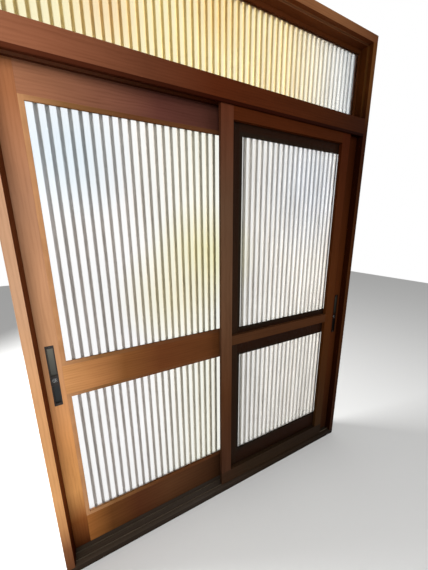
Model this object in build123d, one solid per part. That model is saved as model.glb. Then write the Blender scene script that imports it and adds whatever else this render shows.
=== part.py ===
# A pair of glazed lattice doors and a slim insect screen that slide in one timber frame
# under a transom light. Millimetres, X along the wall, Y from the room out, Z up,
# origin at the middle of the sill's underside.
import os
from math import cos, radians, sin, sqrt
from build123d import *

os.makedirs("parts", exist_ok=True)

# Frame
opening_width = 1556.0
opening_height = 1860.0
jamb_thickness = 30.0
frame_depth = 110.0
sill_height = 30.0
head_height = 69.0
head_lip_drop = 12.0
head_lip_thickness = 7.5
head_groove_depth = 18.0
transom_opening = 335.0
transom_head_height = 34.0
frame_tenon = 12.0
frame_tenon_thickness = 14.0
frame_tenon_width = 70.0
head_tenon_width = 80.0
head_tenon_shoulder = 9.0
spare_groove_front = -37.0
spare_groove_width = 13.0
spare_groove_depth = 7.0

# Running lines of the two doors and the screen, and what they run on
screen_line = -36.0
right_line = -7.5
left_line = 22.5
door_groove_width = 20.0
screen_groove_width = 23.0
rail_thickness = 3.0
rail_rise = 6.0
rail_seat = 8.0

# Doors
door_thickness = 27.0
door_overlap = 60.0
door_lift = 9.0
stile_width = 60.0
shoulder_gap = 8.0
tongue_thickness = 18.0
tongue_entry = 12.0
bottom_rail_height = 147.5
mid_rail_bottom = 798.0
mid_rail_height = 119.0
top_rail_height = 80.5
tenon_length = 35.0
tenon_thickness = 9.0
tenon_haunch = 16.0
short_tenon = 6.0
mortise_spare = 1.0

# Glass, beads and slats
glass_thickness = 3.0
glass_setback = 9.0
glass_play = 1.5
bead_width = 14.5
bead_setback = 0.6
outer_stop_width = 10.0
slat_width = 11.5
slat_depth = 10.0
slat_pitch = 30.5
slat_end_space = 30.0
slat_seat = 5.0
slat_gap = 3.0
transom_glass_front = 19.0
transom_top_stop = 16.0
transom_side_stop = 8.0
transom_bead_depth = 9.0
transom_outer_bead_depth = 5.0
transom_slat_gap = 1.0
transom_glass_play = 2.0
transom_slat_pitch = 28.4
transom_slat_inset = 19.3
transom_slat_width = 10.0

# Pull plates and the sickle hook lock
plate_inset = 17.0
plate_width = 27.5
plate_below_lock = 106.0
plate_height = 246.0
plate_thickness = 1.0
plate_corner = 1.5
dish_wall = 1.0
dish_depth = 7.0
dish_width = 20.0
upper_dish_above_lock = 19.0
upper_dish_height = 110.0
lower_dish_below_lock = 95.0
lower_dish_height = 76.0
lock_height = 867.0
turn_radius = 9.5
turn_thickness = 4.0
turn_clearance = 0.35
turn_below_face = 0.2
turn_bevel = 0.7
grip_thickness = 3.6
grip_depth = 2.6
journal_radius = 4.0
end_journal_radius = 2.0
running_clearance = 0.05
spindle_square = 5.0
hook_inner_radius = 36.0
hook_outer_radius = 43.0
hook_thickness = 4.0
hook_tail_angle = -114.0
hook_tip_angle = -54.0
hook_arm_angle = -107.0
hook_arm_width = 9.0
hub_radius = 8.0
lock_swing = 66.0
case_thickness = 10.0
case_wall = 1.5
case_play = 1.5
face_plate_thickness = 2.0
face_plate_width = 20.0
face_plate_over = 12.0
strike_margin = 10.0

# Rollers
wheel_outer_radius = 13.0
wheel_groove_radius = 10.0
wheel_lift = 0.4
axle_radius = 2.0
roller_inset = 120.0
roller_case_length = 50.0
door_wheel_width = 8.0
door_roller_wall = 2.0
screen_wheel_width = 6.4
screen_roller_wall = 1.5
roller_side_play = 1.0
roller_top_play = 1.5

# Screen
screen_narrower = 46.0
screen_rest_gap = 88.0
screen_thickness = 20.0
screen_stile_width = 57.0
screen_bottom_height = 75.0
screen_mid_bottom = 860.0
screen_mid_height = 47.0
screen_top_height = 71.0
screen_tenon = 25.0
screen_tenon_thickness = 7.0
screen_tenon_forward = 2.0
screen_tenon_shoulder = 10.0
mesh_thickness = 0.6
mesh_lap = 12.0
batten_thickness = 2.0
batten_width = 10.0

# Heights and widths that follow from the sizes above
half_opening = opening_width / 2
half_frame = half_opening + jamb_thickness
half_depth = frame_depth / 2
ridge_height = sill_height + opening_height
groove_top = ridge_height + head_groove_depth
head_top = ridge_height + head_height
transom_top = head_top + transom_opening
door_width = (opening_width + door_overlap) / 2
door_bottom = sill_height + door_lift
shoulder_height = ridge_height - shoulder_gap
door_top = ridge_height + tongue_entry
bottom_rail_top = door_bottom + bottom_rail_height
mid_rail_top = mid_rail_bottom + mid_rail_height
top_rail_bottom = shoulder_height - top_rail_height
inner_width = door_width - 2 * stile_width
slat_count = int((inner_width - 2 * slat_end_space) / slat_pitch) + 1
transom_slat_count = int((opening_width - 2 * transom_slat_inset) / transom_slat_pitch) + 1
lock_backset = plate_inset + plate_width / 2
plate_bottom = lock_height - plate_below_lock
upper_dish_bottom = lock_height + upper_dish_above_lock
lower_dish_bottom = lock_height - lower_dish_below_lock
screen_width = door_width - screen_narrower
screen_top_bottom = door_top - screen_top_height
wheel_centre = sill_height + rail_rise + wheel_lift + wheel_groove_radius


def crossing(radius, depth):
    # Height below the spindle at which a circle about it crosses the plane that lies depth
    # beyond the door's edge
    return sqrt(radius ** 2 - (lock_backset + depth) ** 2)


hook_slot_half = hook_thickness / 2 + case_play
hook_tip_rise = hook_outer_radius * sin(radians(hook_tip_angle + lock_swing))


def box(x0, x1, y0, y1, z0, z1):
    block = Box(x1 - x0, y1 - y0, z1 - z0)
    return block.moved(Location(((x0 + x1) / 2, (y0 + y1) / 2, (z0 + z1) / 2)))


def rod(x, y0, y1, z, radius):
    bar = Cylinder(radius, y1 - y0, rotation=(90, 0, 0))
    return bar.moved(Location((x, (y0 + y1) / 2, z)))


def soften(block, axis, radius):
    return fillet(block.edges().filter_by(axis), radius)


def save(name, pieces):
    solids = [s for p in pieces for s in p.solids()]
    node = solids[0] if len(solids) == 1 else Compound(children=solids)
    node.label = name
    export_step(node, "parts/" + name + ".step")
    print(name, len(solids))


# The head rail and both transom members carry the same spare groove and slat seat
transom_slat_front = transom_glass_front + glass_thickness + transom_outer_bead_depth + transom_slat_gap
spare_groove_back = spare_groove_front + spare_groove_width
transom_slat_back = transom_slat_front + slat_depth


def transom_grooves(z0, z1):
    spare = box(-half_opening, half_opening, spare_groove_front, spare_groove_back, z0, z1)
    seat_z0 = z1 - slat_seat if z1 == head_top else z0
    seat = box(-half_opening, half_opening, transom_slat_front, transom_slat_back,
               seat_z0, seat_z0 + slat_seat)
    return [spare, seat]


def strike_pieces(side, line):
    # side is -1 for the left jamb and 1 for the right one
    face = side * half_opening
    reach = hook_outer_radius - lock_backset + case_play
    low = lock_height - crossing(hook_outer_radius, 0) - case_play
    slot_top = lock_height - crossing(hook_inner_radius, face_plate_thickness) + case_play
    high = lock_height + hook_tip_rise + case_play
    seat_low = low - strike_margin
    seat_high = high + strike_margin
    half = face_plate_width / 2

    def span(near, far):
        return sorted((face + side * near, face + side * far))

    seat = box(*span(0, face_plate_thickness), line - half, line + half, seat_low, seat_high)
    slot = box(*span(-1, face_plate_thickness + 1), line - hook_slot_half, line + hook_slot_half,
               low, slot_top)
    pocket = box(*span(0, reach), line - hook_slot_half, line + hook_slot_half, low, high)
    return seat - slot, [seat, pocket]


# Frame
sill = box(-half_frame, half_frame, -half_depth, half_depth, 0, sill_height)
sill = fillet(sill.edges().filter_by(Axis.X).group_by(Axis.Z)[-1], 3)
rails = []
for line in (screen_line, right_line, left_line):
    y0 = line - rail_thickness / 2
    y1 = line + rail_thickness / 2
    rail = box(-half_opening, half_opening, y0, y1, sill_height - rail_seat, sill_height + rail_rise)
    sill -= rail
    rails.append(fillet(rail.edges().filter_by(Axis.X).group_by(Axis.Z)[-1], rail_thickness / 2 - 0.01))

left_strike, left_cuts = strike_pieces(-1, left_line)
right_strike, right_cuts = strike_pieces(1, right_line)
jambs = []
for side, cuts in ((-1, left_cuts), (1, right_cuts)):
    x0, x1 = sorted((side * half_opening, side * half_frame))
    jamb = box(x0, x1, -half_depth, half_depth, sill_height, transom_top)
    middle = (x0 + x1) / 2
    half_t = frame_tenon_thickness / 2
    half_w = frame_tenon_width / 2
    foot = box(middle - half_t, middle + half_t, -half_w, half_w, sill_height - frame_tenon, sill_height)
    crown = box(middle - half_t, middle + half_t, -half_w, half_w, transom_top, transom_top + frame_tenon)
    sill -= foot
    g0, g1 = sorted((side * half_opening, side * (half_opening + spare_groove_depth)))
    spare = box(g0, g1, spare_groove_front, spare_groove_back, head_top, transom_top)
    t0, t1 = sorted((side * half_opening, side * (half_opening + frame_tenon)))
    head_tenon = box(t0, t1, -head_tenon_width / 2, head_tenon_width / 2,
                     groove_top + head_tenon_shoulder, head_top - head_tenon_shoulder)
    jamb = jamb + foot + crown - [spare, head_tenon] - cuts
    jambs.append((jamb, crown, head_tenon))

head = box(-half_opening, half_opening, -half_depth, half_depth, ridge_height, head_top)
head += box(-half_opening, half_opening, -half_depth, -half_depth + head_lip_thickness,
            ridge_height - head_lip_drop, ridge_height)
for line, width in ((screen_line, screen_groove_width), (right_line, door_groove_width),
                    (left_line, door_groove_width)):
    head -= box(-half_opening, half_opening, line - width / 2, line + width / 2,
                ridge_height - 1, groove_top)
head = head - transom_grooves(head_top - spare_groove_depth, head_top)
head = chamfer(head.edges().filter_by(Axis.X).group_by(Axis.Z)[0], 1)
transom_head = box(-half_frame, half_frame, -half_depth, half_depth,
                   transom_top, transom_top + transom_head_height)
transom_head -= transom_grooves(transom_top, transom_top + spare_groove_depth)
for jamb, crown, head_tenon in jambs:
    head += head_tenon
    transom_head -= crown

half_glass = half_opening - transom_glass_play
glass_back = transom_glass_front + glass_thickness
transom_glass = box(-half_glass, half_glass, transom_glass_front, glass_back,
                    head_top + transom_glass_play, transom_top - transom_glass_play)
transom_beads = []
for y0, y1 in ((transom_glass_front - transom_bead_depth, transom_glass_front),
               (glass_back, glass_back + transom_outer_bead_depth)):
    inner = half_opening - transom_side_stop
    transom_beads.append(box(-half_opening, half_opening, y0, y1, transom_top - transom_top_stop, transom_top))
    transom_beads.append(box(-half_opening, half_opening, y0, y1, head_top, head_top + transom_side_stop))
    for x0, x1 in ((-half_opening, -inner), (inner, half_opening)):
        transom_beads.append(box(x0, x1, y0, y1, head_top + transom_side_stop, transom_top - transom_top_stop))
transom_slats = []
for i in range(transom_slat_count):
    x = half_opening - transom_slat_inset - i * transom_slat_pitch
    transom_slats.append(box(x - transom_slat_width / 2, x + transom_slat_width / 2,
                             transom_slat_front, transom_slat_back,
                             head_top - slat_seat, transom_top + slat_seat))

save("sill", [sill])
save("track_rails", rails)
save("left_jamb", [jambs[0][0]])
save("right_jamb", [jambs[1][0]])
save("head_rail", [head])
save("transom_head", [transom_head])
save("transom_glass", [transom_glass])
save("transom_beads", transom_beads)
save("transom_lattice", transom_slats)
save("strike_plates", [left_strike, right_strike])


def wheel(y, width):
    # A steel wheel turned from its half section, with a groove that straddles the rail
    half = width / 2
    floor = rail_thickness / 2 + wheel_lift
    bore = axle_radius + running_clearance
    section = Polyline((bore, -half), (wheel_outer_radius, -half), (wheel_groove_radius, -floor),
                       (wheel_groove_radius, floor), (wheel_outer_radius, half), (bore, half), (bore, -half))
    turned = revolve(make_face(section), Axis.Y)
    return turned.moved(Location((0, y, wheel_centre)))


def roller(x, y, wheel_width, wall):
    # The case, an inverted channel let into the door's underside with its axle riveted in; its wheel
    half = roller_case_length / 2
    inner = wheel_width / 2 + roller_side_play
    outer = inner + wall
    top = wheel_centre + wheel_outer_radius + roller_top_play
    block = box(x - half, x + half, y - outer, y + outer, door_bottom, top + wall)
    case = block - box(x - half + wall, x + half - wall, y - inner, y + inner, door_bottom - 1, top)
    case += rod(x, y - outer, y + outer, wheel_centre, axle_radius)
    return block, case, wheel(y, wheel_width).moved(Location((x, 0, 0)))


def pull_plate(depth_sign, face, with_turn):
    # depth_sign is 1 where the plate is let in towards +Y and -1 where towards -Y.
    # Returns the plate and what the stile loses to it.
    x0 = plate_inset
    x1 = x0 + plate_width
    top = plate_bottom + plate_height
    middle = lock_backset

    def slab(a, b):
        return sorted((face + depth_sign * a, face + depth_sign * b))

    plate = box(x0, x1, *slab(-plate_thickness, 0), plate_bottom, top)
    plate = soften(plate, Axis.Y, plate_corner)
    seat = []
    hollows = []
    floor = dish_depth - plate_thickness
    for low, high in ((upper_dish_bottom, upper_dish_bottom + upper_dish_height),
                      (lower_dish_bottom, lower_dish_bottom + lower_dish_height)):
        wide = dish_width / 2
        shell = box(middle - wide - dish_wall, middle + wide + dish_wall,
                    *slab(0, floor + dish_wall), low - dish_wall, high + dish_wall)
        hollow = box(middle - wide, middle + wide, *slab(-plate_thickness - 1, floor), low, high)
        plate += shell
        seat.append(shell)
        hollows.append(hollow)
    if with_turn:
        bowl = turn_radius + turn_clearance
        bowl_floor = turn_thickness + turn_below_face + 0.4 - plate_thickness
        shell = rod(middle, *slab(0, bowl_floor + dish_wall), lock_height, bowl + dish_wall)
        plate += shell
        seat.append(shell)
        hollows.append(rod(middle, *slab(-plate_thickness - 1, bowl_floor), lock_height, bowl))
        hollows.append(rod(middle, *slab(0, bowl_floor + dish_wall + 1), lock_height, journal_radius + 0.4))
    return plate - hollows, seat


def lock_point(angle, radius):
    a = radians(angle)
    return (-radius * cos(a), radius * sin(a))


def hook_bolt():
    # A sickle struck from the spindle's centre, so that it slides along its own arc through
    # the door's edge and comes to lie behind the strike plate
    start = lock_point(hook_tail_angle, 70)
    end = lock_point(hook_tip_angle, 70)
    wedge = Polyline((0, 0), start, lock_point((hook_tail_angle + hook_tip_angle) / 2, 90), end, (0, 0))
    ring = Circle(hook_outer_radius) - Circle(hook_inner_radius)
    sickle = ring & make_face(wedge)
    sickle = fillet(sickle.vertices().sort_by(Axis.X)[:2], 2)
    arm_end = (hook_inner_radius + hook_outer_radius) / 2
    arm = Rectangle(arm_end, hook_arm_width, align=(Align.MIN, Align.CENTER))
    arm = arm.moved(Location((0, 0, 0), (0, 0, 180 - hook_arm_angle)))
    flat = sickle + arm + Circle(hub_radius) - Rectangle(spindle_square, spindle_square)
    flat = flat.faces()[0]
    bolt = extrude(flat, hook_thickness / 2, both=True)
    bolt = bolt.moved(Location((0, 0, 0), (90, 0, 0)))
    return bolt.moved(Location((lock_backset, door_thickness / 2, lock_height)))


def lock_pieces():
    middle = door_thickness / 2
    half = case_thickness / 2
    front = middle - half
    back = middle + half
    far = lock_backset - hook_outer_radius * cos(radians(hook_tail_angle)) + case_play
    low = lock_height - hook_outer_radius - case_play
    high = lock_height + hub_radius + 2
    outer = box(face_plate_thickness, far + case_wall, front, back, low - case_wall, high + case_wall)
    cavity = box(0, far, front + case_wall, back + 1, low, high)
    lid = box(face_plate_thickness, far + case_wall, back - case_wall, back, low - case_wall, high + case_wall)
    lid -= rod(lock_backset, back - 3, back + 1, lock_height, end_journal_radius + running_clearance)
    tray = outer - cavity - box(0, 100, back - case_wall, back + 1, low - 5, high + 5)
    tray -= rod(lock_backset, front - 1, front + 3, lock_height, journal_radius + running_clearance)
    face_low = low - face_plate_over
    face_high = high + face_plate_over
    half_face = face_plate_width / 2
    face = box(0, face_plate_thickness, middle - half_face, middle + half_face, face_low, face_high)
    slot = box(-1, face_plate_thickness + 1, middle - hook_slot_half, middle + hook_slot_half,
               lock_height - crossing(hook_outer_radius, -face_plate_thickness) - case_play,
               lock_height - crossing(hook_inner_radius, 0) + case_play)
    front_piece = face - slot
    cuts = [face, outer]
    disc_front = turn_below_face - plate_thickness
    disc_back = disc_front + turn_thickness
    turn = rod(lock_backset, disc_front, disc_back, lock_height, turn_radius)
    turn = chamfer(turn.edges().group_by(Axis.Y)[0], turn_bevel)
    reach = turn_radius * 0.62
    for side in (-1, 1):
        x0, x1 = sorted((lock_backset + side * grip_thickness / 2, lock_backset + side * reach))
        turn -= box(x0, x1, disc_front - 1, disc_front + grip_depth, lock_height - reach, lock_height + reach)
    turn += rod(lock_backset, disc_back, front + case_wall, lock_height, journal_radius)
    half_square = spindle_square / 2
    turn += box(lock_backset - half_square, lock_backset + half_square, front + case_wall,
                back - case_wall, lock_height - half_square, lock_height + half_square)
    turn += rod(lock_backset, back - case_wall, back, lock_height, end_journal_radius)
    passage = journal_radius + 1
    cuts.append(box(lock_backset - passage, lock_backset + passage, 0, front + 1,
                    lock_height - passage, lock_height + passage))
    return [tray + front_piece, lid], turn, cuts


def slide_tongue(block, x0, x1):
    # Leaves the tongue above the shoulder
    side = (door_thickness - tongue_thickness) / 2
    block -= box(x0 - 1, x1 + 1, -1, side, shoulder_height, door_top + 1)
    return block - box(x0 - 1, x1 + 1, door_thickness - side, door_thickness + 1, shoulder_height, door_top + 1)


def panes():
    # Height limits of the two panes between the rails' wood
    return ((bottom_rail_top, mid_rail_bottom), (mid_rail_top, top_rail_bottom))


def door(name, place):
    width = door_width
    far = width - stile_width
    middle = door_thickness / 2
    half_tenon = tenon_thickness / 2

    def tenon(x0, x1, z0, z1, spare):
        return box(x0 - spare, x1 + spare, middle - half_tenon, middle + half_tenon, z0, z1)

    rails_at = {"bottom": (door_bottom, bottom_rail_top, bottom_rail_top),
                "mid": (mid_rail_bottom, mid_rail_top, mid_rail_top),
                "top": (top_rail_bottom, door_top, shoulder_height)}
    outer_stile = box(0, stile_width, 0, door_thickness, door_bottom, door_top)
    outer_stile = slide_tongue(soften(outer_stile, Axis.Z, 1), 0, stile_width)
    meeting_stile = box(far, width, 0, door_thickness, door_bottom, door_top)
    meeting_stile = slide_tongue(soften(meeting_stile, Axis.Z, 1), far, width)
    slat_front = glass_setback + glass_thickness + slat_gap
    made = {}
    for rail, (low, high, shoulder) in rails_at.items():
        block = box(stile_width, far, 0, door_thickness, low, high)
        if rail == "top":
            block = slide_tongue(block, stile_width, far)
        t0 = low + tenon_haunch
        t1 = shoulder - tenon_haunch
        near_length = short_tenon if rail == "mid" else tenon_length
        near = (stile_width - near_length, stile_width)
        away = (far, far + tenon_length)
        block = block + tenon(*near, t0, t1, 0) + tenon(*away, t0, t1, 0)
        outer_stile -= tenon(near[0], near[1], t0, t1, mortise_spare if rail != "mid" else 0)
        meeting_stile -= tenon(*away, t0, t1, mortise_spare)
        if rail != "bottom":
            block -= box(stile_width, far, slat_front, slat_front + slat_depth, low, low + slat_seat)
        if rail != "top":
            block -= box(stile_width, far, slat_front, slat_front + slat_depth, high - slat_seat, high)
        made[rail] = block

    cases, wheels = [], []
    for x in (roller_inset, width - roller_inset):
        block, case, disc = roller(x, middle, door_wheel_width, door_roller_wall)
        made["bottom"] -= block
        cases.append(case)
        wheels.append(disc)

    glasses, beads, slats = [], [], []
    for low, high in panes():
        glass_back = glass_setback + glass_thickness
        glasses.append(box(stile_width + glass_play, far - glass_play, glass_setback, glass_back,
                           low + glass_play, high - glass_play))
        for y0, y1, across in ((bead_setback, glass_setback, bead_width),
                               (glass_back, glass_back + slat_gap, outer_stop_width)):
            beads.append(box(stile_width, stile_width + across, y0, y1, low, high))
            beads.append(box(far - across, far, y0, y1, low, high))
            beads.append(box(stile_width + across, far - across, y0, y1, low, low + across))
            beads.append(box(stile_width + across, far - across, y0, y1, high - across, high))
        first = (width - (slat_count - 1) * slat_pitch) / 2
        for i in range(slat_count):
            x = first + i * slat_pitch
            slat = box(x - slat_width / 2, x + slat_width / 2, slat_front, slat_front + slat_depth,
                       low - slat_seat, high + slat_seat)
            slats.append(slat)

    inside_plate, inside_cuts = pull_plate(1, 0, True)
    outside_plate, outside_cuts = pull_plate(-1, door_thickness, False)
    case, turn, lock_cuts = lock_pieces()
    outer_stile = outer_stile - inside_cuts - outside_cuts - lock_cuts

    save(name + "_outer_stile", [place(outer_stile)])
    save(name + "_meeting_stile", [place(meeting_stile)])
    save(name + "_top_rail", [place(made["top"])])
    save(name + "_mid_rail", [place(made["mid"])])
    save(name + "_bottom_rail", [place(made["bottom"])])
    save(name + "_lower_glass", [place(glasses[0])])
    save(name + "_upper_glass", [place(glasses[1])])
    save(name + "_glazing_beads", [place(b) for b in beads])
    save(name + "_lattice", [place(s) for s in slats])
    save(name + "_lock_plate", [place(inside_plate)])
    save(name + "_outside_plate", [place(outside_plate)])
    save(name + "_lock_case", [place(c) for c in case])
    save(name + "_thumb_turn", [place(turn)])
    save(name + "_hook_bolt", [place(hook_bolt())])
    save(name + "_roller_cases", [place(c) for c in cases])
    save(name + "_wheel_a", [place(wheels[0])])
    save(name + "_wheel_b", [place(wheels[1])])


def place_left(piece):
    return piece.moved(Location((-half_opening, left_line - door_thickness / 2, 0)))


def place_right(piece):
    return mirror(piece, Plane.YZ).moved(Location((half_opening, right_line - door_thickness / 2, 0)))


door("left", place_left)
door("right", place_right)


# Insect screen, in its own frame with its left edge at X = 0
def screen():
    width = screen_width
    far = width - screen_stile_width
    front = screen_line - screen_thickness / 2
    back = front + screen_thickness
    bottom_top = door_bottom + screen_bottom_height
    tenon_front = screen_line - screen_tenon_forward - screen_tenon_thickness / 2
    tenon_back = tenon_front + screen_tenon_thickness
    step = mesh_thickness + batten_thickness
    lap_low = bottom_top - mesh_lap
    lap_high = screen_top_bottom + mesh_lap
    left = half_opening - screen_rest_gap - width

    def here(piece):
        return piece.moved(Location((left, 0, 0)))

    rebate = box(screen_stile_width - mesh_lap, far + mesh_lap, back - step, back + 1, lap_low, lap_high)
    bottom = box(0, width, front, back, door_bottom, bottom_top)
    top = box(screen_stile_width, far, front, back, screen_top_bottom, door_top)
    mid = box(screen_stile_width, far, front, back - step, screen_mid_bottom,
              screen_mid_bottom + screen_mid_height)
    stiles = []
    for x0, side in ((0, 1), (far, -1)):
        stile = box(x0, x0 + screen_stile_width, front, back, bottom_top, door_top)
        stile = soften(stile, Axis.Z, 1)
        foot = box(x0 + mesh_lap + 2, x0 + screen_stile_width - mesh_lap - 2, tenon_front, tenon_back,
                   bottom_top - screen_tenon, bottom_top)
        stile += foot
        bottom -= foot
        stiles.append(stile)
    for z0, z1, which in ((screen_top_bottom, door_top, "top"),
                          (screen_mid_bottom, screen_mid_bottom + screen_mid_height, "mid")):
        for i, (x0, x1) in enumerate(((screen_stile_width - screen_tenon, screen_stile_width),
                                      (far, far + screen_tenon))):
            stub = box(x0, x1, tenon_front, tenon_back, z0 + screen_tenon_shoulder, z1 - screen_tenon_shoulder)
            stiles[i] -= stub
            if which == "top":
                top += stub
            else:
                mid += stub
    bottom -= rebate
    top -= rebate
    stiles = [s - rebate for s in stiles]
    mesh = box(screen_stile_width - mesh_lap, far + mesh_lap, back - step, back - batten_thickness,
               lap_low, lap_high)
    battens = []
    b0 = screen_stile_width - mesh_lap
    b1 = far + mesh_lap
    for x0, x1 in ((b0, b0 + batten_width), (b1 - batten_width, b1)):
        battens.append(box(x0, x1, back - batten_thickness, back, lap_low, lap_high))
    for z0, z1 in ((lap_low, lap_low + batten_width), (lap_high - batten_width, lap_high)):
        battens.append(box(b0 + batten_width, b1 - batten_width, back - batten_thickness, back, z0, z1))
    middle_batten = screen_mid_bottom + screen_mid_height / 2
    battens.append(box(b0 + batten_width, b1 - batten_width, back - batten_thickness, back,
                       middle_batten - batten_width / 2, middle_batten + batten_width / 2))
    cases, wheels = [], []
    for x in (roller_inset, width - roller_inset):
        block, case, disc = roller(x, screen_line, screen_wheel_width, screen_roller_wall)
        bottom -= block
        cases.append(case)
        wheels.append(disc)
    save("screen_left_stile", [here(stiles[0])])
    save("screen_right_stile", [here(stiles[1])])
    save("screen_top_rail", [here(top)])
    save("screen_mid_rail", [here(mid)])
    save("screen_bottom_rail", [here(bottom)])
    save("screen_mesh", [here(mesh)])
    save("screen_battens", [here(b) for b in battens])
    save("screen_roller_cases", [here(c) for c in cases])
    save("screen_wheel_a", [here(wheels[0])])
    save("screen_wheel_b", [here(wheels[1])])


screen()
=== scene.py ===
import math

import bpy
from mathutils import Matrix, Vector


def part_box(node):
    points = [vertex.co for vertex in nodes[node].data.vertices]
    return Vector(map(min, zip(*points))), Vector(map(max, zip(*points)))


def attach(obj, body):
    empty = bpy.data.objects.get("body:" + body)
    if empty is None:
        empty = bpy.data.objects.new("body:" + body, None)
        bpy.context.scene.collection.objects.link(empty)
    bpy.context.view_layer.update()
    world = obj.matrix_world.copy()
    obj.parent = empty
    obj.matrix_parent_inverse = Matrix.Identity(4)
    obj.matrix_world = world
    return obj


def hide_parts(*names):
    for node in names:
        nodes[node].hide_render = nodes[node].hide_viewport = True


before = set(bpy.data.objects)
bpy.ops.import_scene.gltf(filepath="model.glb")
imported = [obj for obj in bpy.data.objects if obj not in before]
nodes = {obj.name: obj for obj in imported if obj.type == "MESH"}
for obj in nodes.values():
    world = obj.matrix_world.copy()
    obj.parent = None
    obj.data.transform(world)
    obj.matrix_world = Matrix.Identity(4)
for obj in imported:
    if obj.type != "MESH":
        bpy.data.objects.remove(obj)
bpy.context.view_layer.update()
print("frame loaded:", len(nodes), "nodes")


# Camera: fitted to the even spacing of the slats and the level edges of the rails
cameraSettings = {
    "place": (-0.582, -0.981, 1.414),
    "focalPixels": 245.5,  # of an image 428 x 570
    "imageHeight": 570,
    "pitch": 13.08,  # degrees down
    "yaw": 26.83,  # degrees to the right
    "roll": -0.53,
    "sensor": 36,  # millimetres
    "nearest": 0.01, "furthest": 60,
}


def makeCamera(s):
    pitch, yaw, roll = (math.radians(s[k]) for k in ("pitch", "yaw", "roll"))
    level = math.cos(pitch)
    ahead = Vector((math.sin(yaw) * level, math.cos(yaw) * level, -math.sin(pitch)))
    right = Vector((math.cos(yaw), -math.sin(yaw), 0))
    up = right.cross(ahead)
    rolledRight = math.cos(roll) * right + math.sin(roll) * up
    rolledUp = -math.sin(roll) * right + math.cos(roll) * up
    data = bpy.data.cameras.new("camera")
    data.sensor_width = s["sensor"]
    data.lens = s["focalPixels"] * s["sensor"] / s["imageHeight"]
    data.clip_start = s["nearest"]
    data.clip_end = s["furthest"]
    camera = bpy.data.objects.new("camera", data)
    bpy.context.scene.collection.objects.link(camera)
    turn = Matrix((rolledRight, rolledUp, -ahead)).transposed()
    camera.matrix_world = Matrix.Translation(s["place"]) @ turn.to_4x4()
    bpy.context.scene.camera = camera


makeCamera(cameraSettings)
print("camera set")


# Materials

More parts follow.
